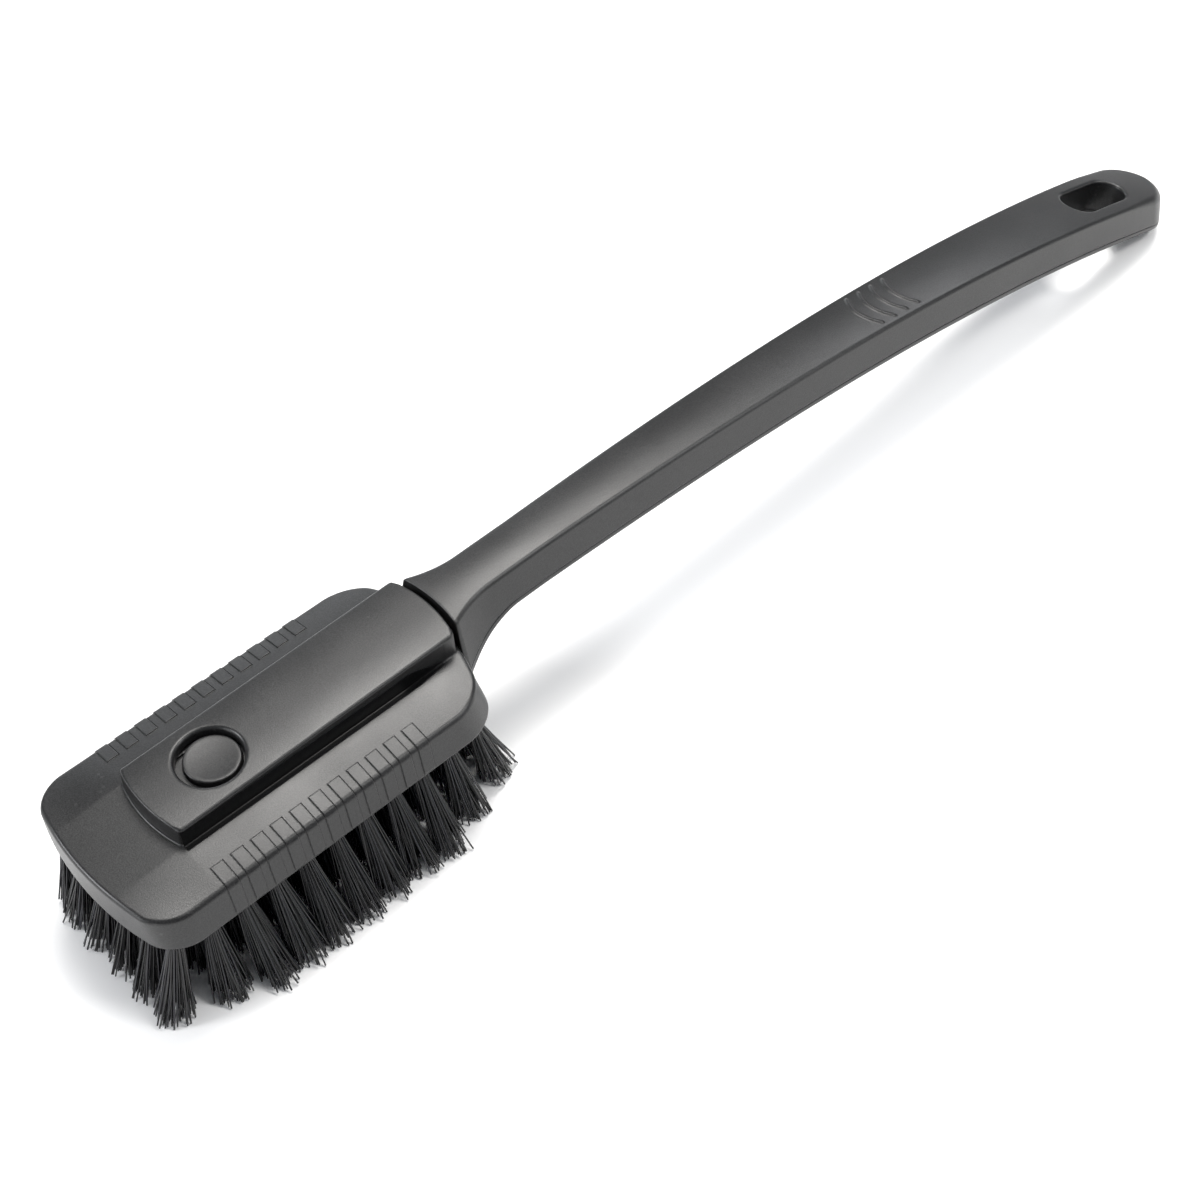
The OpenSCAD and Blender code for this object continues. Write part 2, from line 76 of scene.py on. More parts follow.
HOUSING_FRONT = 19.8
HOUSING_HALF = 13.1
HOUSING_Z = CREASE_Z + 8.5
HOUSING_CLIMB = 1.9
HOUSING_CROWN = 0.6
HOUSING_BOW_R = 46
HOUSING_DRAFT = 0.05                       # lean of the housing's front wall
HOUSING_CORNER_R = 1.0
HOUSING_REAR_R = 0.2
HOUSING_FOOT_R = 0.5                       # fillet between the shoulder and the housing
RIM_R = 0.35                               # round of the housing's top edge, in its middle
RIM_GROWTH = 0.5                           # the same round grows by this at the long edges
RIM_BAND = 3                               # width of the band where it grows
FRONT_DROP = 0.7                           # share of the shoulder's rise lost at the front edge
GROOVE_W = 1.6
GROOVE_DEPTH = 4.0
LIP_T = 0.7                                # thickness of the housing's overhanging edge
LIP_GROWTH = 3.4                           # the housing's wall stands deeper under its edge to the rear
LIP_GROWTH_END = 0.7                       # share of the housing's length where that ends
UNDERCUT = 2.4
GROOVE_START_NEAR, GROOVE_START_FAR = 2.3, 5   # from the housing's front, on the -Y and the +Y side
GROOVE_END = 7                             # how far the groove stops from the block's rear
CLOSING_START, CLOSING_LEN = 20, 14        # where the groove closes, counted from the block's rear
CLOSING_DROP = 4.5
GROOVE_EDGE_R = 0.25

PAD_COUNT = 11
PAD_PITCH = 6
PAD_LEN = 3.5
PAD_PROUD = 0.28
PAD_SHIFT = 1.4                            # how far the pads are set towards the front
PAD_START = (HEAD_LEN - (PAD_COUNT - 1) * PAD_PITCH - PAD_LEN) / 2 - PAD_SHIFT
PAD_TOP = 22.2                             # half width at the upper ends of the pads
PAD_FOOT = 0.8                             # height of the pads' lower ends above the block's bottom
PAD_EDGE_R = 0.1
PAD_LINE = 0.1                             # half width of the fine line round each pad
PAD_LINE_DEPTH = 0.09

BUTTON_X = 40.9
BUTTON_R = 7.5
BUTTON_EDGE_R = 0.45
BUTTON_DISH = 0.25
SOCKET_GAP = 0.3
TANG_H = 6.8
TANG_NOSE = 12                             # how far the tang reaches in front of the button's centre
TANG_HALF = 9
TANG_EDGE_R = 0.3
SOCKET_HALF = TANG_HALF + SOCKET_GAP
SOCKET_ROOF = HOUSING_Z - 2.2
SOCKET_FLOOR = SOCKET_ROOF - (TANG_H + 2 * SOCKET_GAP)
SOCKET_END_GAP = 0.8
SOCKET_EDGE_R = 0.15
TANG_FRONT = BUTTON_X - TANG_NOSE
TANG_TOP = SOCKET_ROOF - SOCKET_GAP
TANG_BOTTOM = SOCKET_FLOOR + SOCKET_GAP
TRAY_FLOOR = TANG_BOTTOM + 1.2
TRAY_HALF = TANG_HALF - 1.3
TRAY_END_GAP = 1.5
BUTTON_TOP = tongue_high.z / MM
HOLE_X = 40.2                              # the round hole reaches further towards the front
HOLE_R = 8.9
HOLE_RIM_R = 1.1
HOLE_FLOOR_LIFT = 1
TONGUE_GAP = 0.3
TONGUE_HALF = TRAY_HALF - TONGUE_GAP
TONGUE_T = 1.8
TONGUE_FRONT = (tongue_low.x - FRONT_X) / MM
TONGUE_ROOT = BUTTON_X + 44
TONGUE_EDGE_R = 0.25

ROW_COUNT = 11
COLUMN_COUNT = 6
ROW_INSET = 8.75
COLUMN_INSET = 4.5
ROW_PITCH = (HEAD_LEN - 2 * ROW_INSET) / (ROW_COUNT - 1)
COLUMN_PITCH = 2 * (HEAD_HALF - COLUMN_INSET) / (COLUMN_COUNT - 1)
HOLE_DEPTH = 8
TUFT_HOLE_R = 2
TUFT_HOLE_RIM_R = 0.2
COLUMN_LEANS = (-20, -10, -3, 3, 10, 20)
END_ROW_SIDE_SHARE = 0.1
SECOND_ROW_SIDE_SHARE = 0.6
END_ROW_LEAN = 13
SECOND_ROW_LEAN = 3.9

SEAM_GAP = 0.4
SEAM_X = HEAD_LEN + SEAM_GAP
TIP_X = (tip_high.x - FRONT_X) / MM
RUN = TIP_X - SEAM_X
NECK_TOP = CREASE_Z + 11.2
NECK_SLOPE = 0.031
TIP_SLOPE = -0.31
TIP_DEPTH = 14
GRIP_DEPTH = 14.6
NECK_HALF = 7.4
TIP_HALF = 12.2
TIP_CORNER = 13
COLLAR_TOP_HALF = 10.7
COLLAR_HALF = 14.4
COLLAR_LEN = 20
COLLAR_LIFT = 0.3                          # the collar's foot stands this far above the block's bottom
COLLAR_DROP = NECK_TOP - GRIP_DEPTH - BLOCK_BOTTOM - COLLAR_LIFT
COLLAR_ROOM = 0.6                          # room beside the collar in the block's rear
COLLAR_ROOM_TOP = 3                        # height of that room above the crease
SIDE_FLARE = 1.2
SEAM_SHARE = 0.8
SHELL_WALL = 2
HOLLOW_INSET = 6                           # solid length between the hollow and the collar or slot
HANDLE_CROWN = 0.6
TIP_RAKE = 1.4
TOP_EDGE_R = 1.0
TIP_EDGE_GROWTH = 1.4                      # the top edge is rounder by this at the tip
UNDERSIDE_R = 1.8
MOUTH_EDGE_R = 0.25
SEAM_EDGE_R = 0.3

SLOT_LEN = 30
SLOT_HALF = 6.5
SLOT_X = TIP_X - 34.4
SLOT_RIM_R = 1.1
SLOT_FOOT_R = 0.8
RIDGE_COUNT = 4
RIDGE_PITCH = 5.6
RIDGE_X = TIP_X - 140.5
RIDGE_R = 11
RIDGE_ANGLE = math.radians(48)
RIDGE_PROUD = 0.45
RIDGE_HALF = 0.5
RIDGE_FADE = 0.16                          # angle over which each end of a ridge fades, radians

COARSE = 1.0


# ---- Fields: negative inside, in millimetres ----

def both(a, b, r):
    """Where a and b overlap, with a round edge of radius r."""
    return np.minimum(np.maximum(a, b), -r) + np.hypot(np.maximum(a + r, 0), np.maximum(b + r, 0))


def either(a, b, r):
    """a and b joined, with a fillet of radius r."""
    return -both(-a, -b, r)


def cut(a, b, r):
    """a with b taken away, with a round rim of radius r."""
    return both(a, -b, r)


def slab(v, low, high):
    """Between low and high."""
    return np.abs(v - (low + high) / 2) - (high - low) / 2


def ease(v):
    """From 0 to 1, slow at both ends."""
    v = np.clip(v, 0, 1)
    return v * v * (3 - 2 * v)


def surface(field, xs, ys, zs):
    """Vertices and quads of the closed surface field = 0 on the grid xs, ys, zs."""
    grid = (xs, ys, zs)
    shape = tuple(len(v) for v in grid)
    f = np.broadcast_to(field(xs[:, None, None], ys[None, :, None], zs[None, None, :]), shape)
    solid = f < 0
    corners = list(itertools.product((0, 1), repeat=3))
    filled = sum(
        solid[tuple(slice(c, n - 1 + c) for c, n in zip(corner, shape))].astype(np.uint8)
        for corner in corners
    )
    mixed = (filled > 0) & (filled < 8)
    cells = np.argwhere(mixed)
    number = np.full(mixed.shape, -1, np.int64)
    number[mixed] = np.arange(len(cells))
    total = np.zeros((len(cells), 3))
    count = np.zeros(len(cells))
    quads = []
    for axis in range(3):
        one, two = (axis + 1) % 3, (axis + 2) % 3
        for a, b in itertools.product((0, 1), repeat=2):
            start = cells.copy()
            start[:, one] += a
            start[:, two] += b
            end = start.copy()
            end[:, axis] += 1
            fa, fb = f[tuple(start.T)], f[tuple(end.T)]
            crosses = (fa < 0) != (fb < 0)
            share = np.where(crosses, fa / np.where(crosses, fa - fb, 1), 0)
            point = np.stack([grid[i][start[:, i]] for i in range(3)], 1).astype(float)
            point[:, axis] += share * (grid[axis][end[:, axis]] - grid[axis][start[:, axis]])
            total += point * crosses[:, None]
            count += crosses
        low = tuple(slice(0, -1) if i == axis else slice(None) for i in range(3))
        high = tuple(slice(1, None) if i == axis else slice(None) for i in range(3))
        edges = np.argwhere(solid[low] != solid[high])
        ring = []
        for a, b in ((-1, -1), (0, -1), (0, 0), (-1, 0)):
            cell = edges.copy()
            cell[:, one] += a
            cell[:, two] += b
            ring.append(number[tuple(cell.T)])
        ring = np.stack(ring, 1)
        outward = solid[tuple(edges.T)]
        quads.append(np.where(outward[:, None], ring, ring[:, ::-1]))
    verts = settle(field, total / count[:, None], 0.3)
    return verts, np.concatenate(quads)


def slope_at(field, verts):
    """The field's gradient at each vertex."""
    h = 0.02
    x, y, z = verts.T
    return np.stack([
        field(x + h, y, z) - field(x - h, y, z),
        field(x, y + h, z) - field(x, y - h, z),
        field(x, y, z + h) - field(x, y, z - h),
    ], 1) / (2 * h)


def settle(field, verts, reach):
    """Moves each vertex onto the field's own surface."""
    for _ in range(2):
        slope = slope_at(field, verts)
        step = slope * (field(*verts.T) / (np.sum(slope * slope, 1) + 1e-6))[:, None]
        length = np.linalg.norm(step, axis=1, keepdims=True)
        verts = verts - step * np.minimum(1, reach / (length + 1e-9))
    return verts


def steps(*stretches):
    """Grid coordinates: each stretch is (start, end, step)."""
    runs = [np.linspace(a, b, max(2, round((b - a) / (s * COARSE)))) for a, b, s in stretches]
    return np.concatenate([run[:-1] for run in runs] + [runs[-1][-1:]])


def around(places, grid, reach, step):
    """The grid with closer steps near each of the places."""
    kept = grid[np.min(np.abs(grid[:, None] - np.array(places)[None]), 1) > reach]
    fine = [place + np.arange(-reach, reach + step / 2, step * COARSE) for place in places]
    merged = np.unique(np.concatenate([kept, *fine]).round(4))
    return merged[np.concatenate([[True], np.diff(merged) > 0.03])]


# ---- Pieces ----

def piece(name, verts, faces, body, material, slot, *nodes):
    """A mesh from millimetre points, riding on a body and standing for CAD nodes."""
    mesh = bpy.data.meshes.new(name)
    placed = np.asarray(verts) * MM + (FRONT_X, 0, 0)
    mesh.from_pydata(placed.tolist(), [], faces if isinstance(faces, list) else faces.tolist())
    mesh.validate()
    mesh.shade_smooth()
    mesh.materials.append(material)
    obj = bpy.data.objects.new(name, mesh)
    bpy.context.scene.collection.objects.link(obj)
    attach(obj, body)
    if nodes:
        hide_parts(*nodes)
    return obj


# ---- Brush block ----

def block_plan(x, y, half, rear_out):
    """The block's outline seen from above."""
    side = np.abs(y) - half
    front = np.hypot(x - FRONT_BOW_R, y) - FRONT_BOW_R
    rear = np.hypot(x - (HEAD_LEN + rear_out - BOW_R), y) - BOW_R
    return both(both(side, front, CORNER_R), rear, CORNER_R)


def shoulder_height(x, y):
    """A plateau as wide as the housing, with sides that slope to the crease."""
    aside = np.clip((np.abs(y) - HOUSING_HALF) / (HEAD_HALF - HOUSING_HALF), 0, 1)
    slope = 1 - aside ** 1.25
    ahead = np.clip(1 - x / (HOUSING_FRONT + 2), 0, 1)
    rise = (SHOULDER_RISE - SHOULDER_LIFT) * (slope - FRONT_DROP * ahead ** 1.2 * slope)
    return CREASE_Z + SHOULDER_LIFT + rise


def block_skin(x, y, z):
    below = np.clip((CREASE_Z - z) / (CREASE_Z - BLOCK_BOTTOM), 0, 1.2)
    plan = block_plan(x, y, HEAD_HALF + FLARE * below, REAR_FLARE * below)
    skin = both(plan, (z - shoulder_height(x, y)) * 0.97, CREASE_R)
    return both(skin, BLOCK_BOTTOM - z, BOTTOM_EDGE_R)


def housing(x, y, z):
    along = (x - HOUSING_FRONT) / (HEAD_LEN - HOUSING_FRONT)
    top = HOUSING_Z + HOUSING_CLIMB * along + HOUSING_CROWN * (1 - np.abs(y / HOUSING_HALF) ** 2.5)
    side = np.abs(y) - HOUSING_HALF
    front = np.hypot(x - HOUSING_FRONT - HOUSING_BOW_R, y) - HOUSING_BOW_R + HOUSING_DRAFT * (z - SHOULDER_Z)
    rear = np.hypot(x - (HEAD_LEN - BOW_R), y) - BOW_R
    plan = both(both(side, front, HOUSING_CORNER_R), rear, HOUSING_REAR_R)
    rim = RIM_R + RIM_GROWTH * ease((np.abs(y) - HOUSING_HALF + RIM_BAND) / 2)
    return both(both(plan, z - top, rim), CREASE_Z - z, 0.1)


def pad_comb(x):
    """Negative where x is on one of the pads."""
    middle = PAD_START + PAD_LEN / 2
    index = np.clip(np.round((x - middle) / PAD_PITCH), 0, PAD_COUNT - 1)
    return np.abs(x - middle - index * PAD_PITCH) - PAD_LEN / 2


def grip_pad_field(x, y, z, skin):
    """The raised pads, and the fine line that outlines each of them."""
    area = np.maximum(pad_comb(x), np.maximum(PAD_TOP - np.abs(y), BLOCK_BOTTOM + PAD_FOOT - z))
    pads = both(area, skin - PAD_PROUD, PAD_EDGE_R)
    line = np.maximum(np.abs(area - PAD_LINE) - PAD_LINE, -PAD_LINE_DEPTH - skin)
    return pads, line


def groove_field(x, y, z):
    """Room under the housing's edge and beside it, closing in a slant at the rear."""
    start = HOUSING_FRONT + np.where(y < 0, GROOVE_START_NEAR, GROOVE_START_FAR)
    along = (x - HOUSING_FRONT) / (HEAD_LEN - HOUSING_FRONT)
    lip = HOUSING_Z + HOUSING_CLIMB * along - LIP_T - LIP_GROWTH * np.clip(along, 0, LIP_GROWTH_END)
    closing = ease((x - HEAD_LEN + CLOSING_START) / CLOSING_LEN)
    inner = HOUSING_HALF - UNDERCUT * (1 - closing)
    outer = HOUSING_HALF + GROOVE_W * (1 - 0.6 * closing)
    ends = slab(x, start, HEAD_LEN - GROOVE_END)
    floor = SHOULDER_Z - GROOVE_DEPTH * (1 - closing) - z
    under = np.maximum(slab(np.abs(y), inner, outer), z - lip + CLOSING_DROP * closing)
    above = slab(np.abs(y), HOUSING_HALF + 0.02, outer)
    return np.maximum(np.minimum(under, above), np.maximum(ends, floor))


def row_lean(row):
    """Lean of a row along the block, in radians."""
    row = np.asarray(row)
    first = np.where(row == 0, -END_ROW_LEAN, np.where(row == 1, -SECOND_ROW_LEAN, 0))
    last = np.where(row == ROW_COUNT - 1, END_ROW_LEAN,
                    np.where(row == ROW_COUNT - 2, SECOND_ROW_LEAN, 0))
    return np.radians(first + last)


def tuft_axis(row, column):
    """Mouth of a tuft hole, and the direction in which its tuft points."""
    row = np.asarray(row)
    from_end = np.minimum(row, ROW_COUNT - 1 - row)
    kept = np.where(from_end == 0, END_ROW_SIDE_SHARE,
                    np.where(from_end == 1, SECOND_ROW_SIDE_SHARE, 1))
    a = np.radians(np.asarray(COLUMN_LEANS))[column] * kept
    b = row_lean(row)
    mouth = (ROW_INSET + row * ROW_PITCH, (column - (COLUMN_COUNT - 1) / 2) * COLUMN_PITCH)
    return mouth, (np.sin(b) * np.cos(a), np.sin(a), -np.cos(b) * np.cos(a))


def tuft_hole_field(x, y, z):
    row = np.clip(np.round((x - ROW_INSET) / ROW_PITCH), 0, ROW_COUNT - 1).astype(int)
    column = np.round(y / COLUMN_PITCH + (COLUMN_COUNT - 1) / 2)
    column = np.clip(column, 0, COLUMN_COUNT - 1).astype(int)
    (mouth_x, mouth_y), (ax, ay, az) = tuft_axis(row, column)
    dx, dy, dz = x - mouth_x, y - mouth_y, z - BLOCK_BOTTOM
    along = dx * ax + dy * ay + dz * az
    away = np.sqrt(np.maximum(dx * dx + dy * dy + dz * dz - along * along, 0))
    return np.maximum(away - TUFT_HOLE_R, -along - HOLE_DEPTH)


def block_field(x, y, z):
    skin = block_skin(x, y, z)
    body = either(skin, housing(x, y, z), HOUSING_FOOT_R)
    pads, line = grip_pad_field(x, y, z, skin)
    body = np.maximum(np.minimum(body, pads), -line)
    behind = BOW_R - np.hypot(x - (HEAD_LEN - BOW_R), y)
    pocket = np.maximum(np.abs(y) - COLLAR_HALF - COLLAR_ROOM, behind)
    body = np.maximum(body, -np.maximum(pocket, z - CREASE_Z - COLLAR_ROOM_TOP))
    hole = np.maximum(np.hypot(x - HOLE_X, y) - HOLE_R, TANG_BOTTOM + HOLE_FLOOR_LIFT - z)
    body = cut(body, hole, HOLE_RIM_R)
    socket = np.maximum(slab(y, -SOCKET_HALF, SOCKET_HALF), slab(z, SOCKET_FLOOR, SOCKET_ROOF))
    socket = np.maximum(socket, TANG_FRONT - SOCKET_END_GAP - x)
    body = cut(body, socket, SOCKET_EDGE_R)
    body = cut(body, groove_field(x, y, z), GROOVE_EDGE_R)
    return cut(body, tuft_hole_field(x, y, z), TUFT_HOLE_RIM_R)


def make_block(material):
    pads = [PAD_START + i * PAD_PITCH for i in range(PAD_COUNT)]
    lines = [place for pad in pads for place in (pad - PAD_LINE, pad + PAD_LEN + PAD_LINE)]
    xs = around(lines, steps((-1, HEAD_LEN + 3.4, 0.36)), 0.5, 0.09)
    ys = around([-PAD_TOP + PAD_LINE, PAD_TOP - PAD_LINE],
                steps((-31.5, -21, 0.35), (-21, 21, 0.38), (21, 31.5, 0.35)), 0.55, 0.11)
    zs = steps((BLOCK_BOTTOM - 0.8, SOCKET_FLOOR, 0.4), (SOCKET_FLOOR, 50.5, 0.3))
    verts, quads = surface(block_field, xs, ys, zs)
    piece("block_moulding", verts, quads, "head", material, "body_plastic", "brush_block")


# ---- Handle ----

def top_z(x):
    """Height of the handle's top face, a cubic with a set slope at the seam and at the tip."""
    t = np.clip((x - SEAM_X) / RUN, 0, 1)
    a = 1 - t
    return (NECK_TOP * a * a * (1 + 2 * t) + NECK_SLOPE * RUN * t * a * a
            + TIP_DEPTH * t * t * (3 - 2 * t) - TIP_SLOPE * RUN * t * t * a)


def collar_share(x, length):
    """1 at the seam, falling to 0 over the collar's length."""
    return np.clip(1 - (x - SEAM_X) / length, 0, 1) ** 2


def depth(x):
    """Depth of the handle below its top face."""
    t = (x - SEAM_X) / RUN
    return (GRIP_DEPTH + (TIP_DEPTH - GRIP_DEPTH) * ease((t - 0.6) / 0.4)
            + COLLAR_DROP * ease(1 - (x - SEAM_X - 2) / (COLLAR_LEN + 1)))


def half_top(x):
    """Half width of the top face."""
    t = np.clip(((x - SEAM_X) / RUN - 0.1) / 0.82, 0, 1)
    return (NECK_HALF + (TIP_HALF - NECK_HALF) * t
            + (COLLAR_TOP_HALF - NECK_HALF) * collar_share(x, COLLAR_LEN * 0.72))


def half_side(x):
    """Half width at the seam between the two shells."""
    flare = (COLLAR_HALF - COLLAR_TOP_HALF - SIDE_FLARE) * collar_share(x, COLLAR_LEN)
    return half_top(x) + SIDE_FLARE + flare


def thumb_ridges(x, y):
    """Height of the curved ridges above the top face."""
    height = 0
    for i in range(RIDGE_COUNT):
        middle = RIDGE_X - i * RIDGE_PITCH + RIDGE_R
        away = np.hypot(x - middle, y) - RIDGE_R
        angle = np.abs(np.arctan2(y, middle - x))
        height = height + np.exp(-(away / RIDGE_HALF) ** 2) * ease((RIDGE_ANGLE - angle) / RIDGE_FADE)
    return RIDGE_PROUD * height


def seam_level(x):
    return -SEAM_SHARE * depth(x)


def handle_outer(x, y, w):
    """The whole handle, with w counted from its top face."""
    top, side = half_top(x), half_side(x)
    share = np.clip(w / seam_level(x), 0, 1)
    wall = (np.abs(y) - (top + (side - top) * share)) * 0.99
    plan = both(wall, x - TIP_X + TIP_RAKE * (1 - share), TIP_CORNER)
    crown = HANDLE_CROWN * (1 - np.clip(y / top, -1, 1) ** 2) - HANDLE_CROWN / 2 + thumb_ridges(x, y)
    body = both(plan, w - crown, TOP_EDGE_R + TIP_EDGE_GROWTH * ease((x - SLOT_X) / 25))
    body = both(body, -w - depth(x), UNDERSIDE_R)
    mouth = BOW_R + SEAM_GAP - np.hypot(x - (HEAD_LEN - BOW_R), y)
    return both(body, mouth, MOUTH_EDGE_R)


def slot_field(x, y, w):
    """The hanging slot, square to the top face at its middle."""
    slope = float(top_z(SLOT_X + 0.5) - top_z(SLOT_X - 0.5))
    lean = 1 / math.hypot(1, slope)
    z = w + top_z(x) - float(top_z(SLOT_X))
    along = ((x - SLOT_X) + z * slope) * lean
    return np.hypot(np.maximum(np.abs(along) - (SLOT_LEN / 2 - SLOT_HALF), 0), y) - SLOT_HALF


def tang_field(x, y, w):
    z = w + top_z(x)
    body = both(both(slab(y, -TANG_HALF, TANG_HALF), slab(z, TANG_BOTTOM, TANG_TOP), TANG_EDGE_R),
                slab(x, TANG_FRONT, SEAM_X + 4), TANG_EDGE_R)
    length = slab(x, TONGUE_FRONT - TONGUE_GAP, TONGUE_ROOT + TRAY_END_GAP)
    tray = np.maximum(slab(y, -TRAY_HALF, TRAY_HALF), length)
    pocket = np.hypot(x - BUTTON_X, y) - BUTTON_R - TONGUE_GAP
    return cut(body, np.maximum(np.minimum(tray, pocket), TRAY_FLOOR - z), SOCKET_EDGE_R)


HOLLOW_START = SEAM_X + COLLAR_LEN + HOLLOW_INSET
HOLLOW_END = SLOT_X - SLOT_LEN / 2 - HOLLOW_INSET


def hollow_field(x, y, w):
    inner = np.abs(y) - (half_side(x) - SHELL_WALL)
    return np.maximum(np.maximum(inner, slab(x, HOLLOW_START, HOLLOW_END)),
                      np.maximum(w + SHELL_WALL, -w - depth(x) + SHELL_WALL))


def shell_field(x, y, w):
    body = both(cut(handle_outer(x, y, w), slot_field(x, y, w), SLOT_RIM_R), seam_level(x) - w, SEAM_EDGE_R)
    body = np.maximum(body, -hollow_field(x, y, w))
    return np.minimum(body, tang_field(x, y, w))


def base_field(x, y, w):
    body = both(cut(handle_outer(x, y, w), slot_field(x, y, w), SLOT_FOOT_R), w - seam_level(x), SEAM_EDGE_R)
    return np.maximum(body, -hollow_field(x, y, w))


def lifted(verts):
    """From heights below the handle's top face to real heights."""
    verts[:, 2] += top_z(verts[:, 0])
    return verts


def make_handle(material):
    ridges_start, ridges_end = RIDGE_X - RIDGE_COUNT * RIDGE_PITCH, RIDGE_X + 12
    grip = ((SEAM_X + 22, ridges_start, 1.1), (ridges_start, ridges_end, 0.28),
            (ridges_end, SLOT_X - 18, 1.0), (SLOT_X - 18, TIP_X + 1, 0.4))
    ys = steps((-16, 16, 0.34))
    xs = steps((TANG_FRONT - 1, SEAM_X - 6, 0.6), (SEAM_X - 6, SEAM_X + 22, 0.35), *grip)
    zs = steps((-18, -9, 0.4), (-9, 1.2, 0.3))
    verts, quads = surface(shell_field, xs, ys, zs)
    piece("handle_upper", lifted(verts), quads, "handle", material, "body_plastic", "handle_shell")
    xs = steps((SEAM_X - 6, SEAM_X + 22, 0.35), *grip)
    zs = steps((-22.5, -10.5, 0.3))
    verts, quads = surface(base_field, xs, ys, zs)
    piece("handle_lower", lifted(verts), quads, "handle", material, "body_plastic", "handle_base")


# ---- Release tongue with its button ----

def tongue_field(x, y, z):
    plate = np.maximum(slab(x, TONGUE_FRONT, TONGUE_ROOT), slab(z, TANG_TOP - TONGUE_T, TANG_TOP))
    root = np.hypot(x - TONGUE_ROOT, z - (TANG_TOP - TONGUE_T / 2)) - TONGUE_T / 2
    plate = both(np.minimum(plate, root), slab(y, -TONGUE_HALF, TONGUE_HALF), TONGUE_EDGE_R)
    radius = np.hypot(x - BUTTON_X, y)
    dish = BUTTON_DISH * np.clip(1 - (radius / (BUTTON_R - 1)) ** 2, 0, 1)
    disc = both(radius - BUTTON_R, z - (BUTTON_TOP - dish), BUTTON_EDGE_R)
    return either(plate, np.maximum(disc, TANG_TOP - TONGUE_T - z), 0.1)


def make_tongue(material):
    xs = steps((TONGUE_FRONT - 1, BUTTON_X + 9, 0.25), (BUTTON_X + 9, TONGUE_ROOT + 2, 0.6))
    ys = steps((-8.4, 8.4, 0.25))
    zs = steps((TANG_TOP - TONGUE_T - 0.6, BUTTON_TOP + 0.6, 0.2))
    verts, quads = surface(tongue_field, xs, ys, zs)
    piece("release_tongue", verts, quads, "latch", material, "button_plastic", "latch_tongue")


# ---- Bristles ----

FILAMENTS = 96
FILAMENT_R = 0.24
FILAMENT_SIDES = 5
TUFT_TIP_R = 6.2
CLUMPS = 12                                # strands in which a tuft sticks together
CLUMPING = 0.22
BENT_TUFT = (0, 5)                         # row and column of the corner tuft that is bent inwards
BENT_BY = (0.05, -0.16, 0)
ROOT_R = 1.6
ROOT_DEPTH = 3
PATH_POINTS = 7
FILAMENT_BOW = 0.35
TIP_WEAR = 0.55                            # how unevenly the filaments end above the floor
GOLDEN = math.pi * (3 - math.sqrt(5))
chance = np.random.default_rng(11)


def unit(angle):
    """The flat unit vector at an angle."""
    return np.array((math.cos(angle), math.sin(angle)))


def filament_paths(row, column):
    """Points along each filament of one tuft, from inside its hole to its tip."""
    (mouth_x, mouth_y), axis = tuft_axis(row, column)
    mouth = np.array([mouth_x, mouth_y, BLOCK_BOTTOM])
    axis = np.array(axis, float)
    if (row, column) == BENT_TUFT:
        axis += BENT_BY
        axis /= np.linalg.norm(axis)
    side = np.cross(axis, (0, 1, 0))
    side /= np.linalg.norm(side)
    other = np.cross(side, axis)
    length = BLOCK_BOTTOM / -axis[2]
    clumps = [
        TUFT_TIP_R * math.sqrt(chance.uniform(0.15, 1)) * unit(chance.uniform(0, 2 * math.pi))
        for _ in range(CLUMPS)
    ]
    paths = []
    for i in range(FILAMENTS):
        share = math.sqrt((i + 0.5) / FILAMENTS)
        angle = i * GOLDEN + chance.uniform(-0.3, 0.3)
        root = ROOT_R * share
        tip = TUFT_TIP_R * share * chance.uniform(0.75, 1.12) * unit(angle + chance.normal(0, 0.12))
        clump = min(clumps, key=lambda place: np.hypot(*(place - tip)))
        tip += CLUMPING * (clump - tip)
        near = root * (math.cos(angle) * side + math.sin(angle) * other)
        far = tip[0] * side + tip[1] * other
        bow = chance.normal(0, FILAMENT_BOW) * side + chance.normal(0, FILAMENT_BOW) * other
        start = mouth + near
        end = mouth + axis * length + far
        reach = (BLOCK_BOTTOM - abs(chance.normal(0, TIP_WEAR))) / (BLOCK_BOTTOM - end[2])
        points = [start - axis * ROOT_DEPTH]
        for t in np.linspace(0, 1, PATH_POINTS):
            along = t * reach
            spread = near + (far - near) * along ** 1.25
            points.append(mouth + axis * length * along + spread + bow * 4 * t * (1 - t))
        paths.append(np.array(points))
    return paths


def tube(points, radius, sides):
    """Rings of vertices round a path."""
    ahead = np.gradient(points, axis=0)
    ahead /= np.linalg.norm(ahead, axis=1, keepdims=True)
    across = np.cross(ahead, (1, 0, 0))
    across /= np.linalg.norm(across, axis=1, keepdims=True)
    over = np.cross(ahead, across)
    angles = np.arange(sides) * 2 * math.pi / sides
    ring = np.cos(angles)[None, :, None] * across[:, None] + np.sin(angles)[None, :, None] * over[:, None]
    return (points[:, None] + radius * ring).reshape(-1, 3)


def tube_faces(rings, sides, first):
    """Faces between the rings of a tube, and its two ends; first is its first vertex."""
    faces = [
        [first + r * sides + s, first + r * sides + (s + 1) % sides,
         first + (r + 1) * sides + (s + 1) % sides, first + (r + 1) * sides + s]
        for r in range(rings - 1) for s in range(sides)
    ]
    faces.append([first + s for s in range(sides - 1, -1, -1)])
    faces.append([first + (rings - 1) * sides + s for s in range(sides)])
    return faces


def make_bristles(material):
    for row in range(ROW_COUNT):
        verts, faces = [], []
        for column in range(COLUMN_COUNT):
            for path in filament_paths(row, column):
                radius = FILAMENT_R * chance.uniform(0.9, 1.1)
                faces += tube_faces(len(path), FILAMENT_SIDES, sum(map(len, verts)))
                verts.append(tube(path, radius, FILAMENT_SIDES))
        number = row + 1
        piece(f"bristle_row_{number}", np.concatenate(verts), faces, "head", material,
              "bristle", f"tuft_row_{number}")


# ---- Materials ----

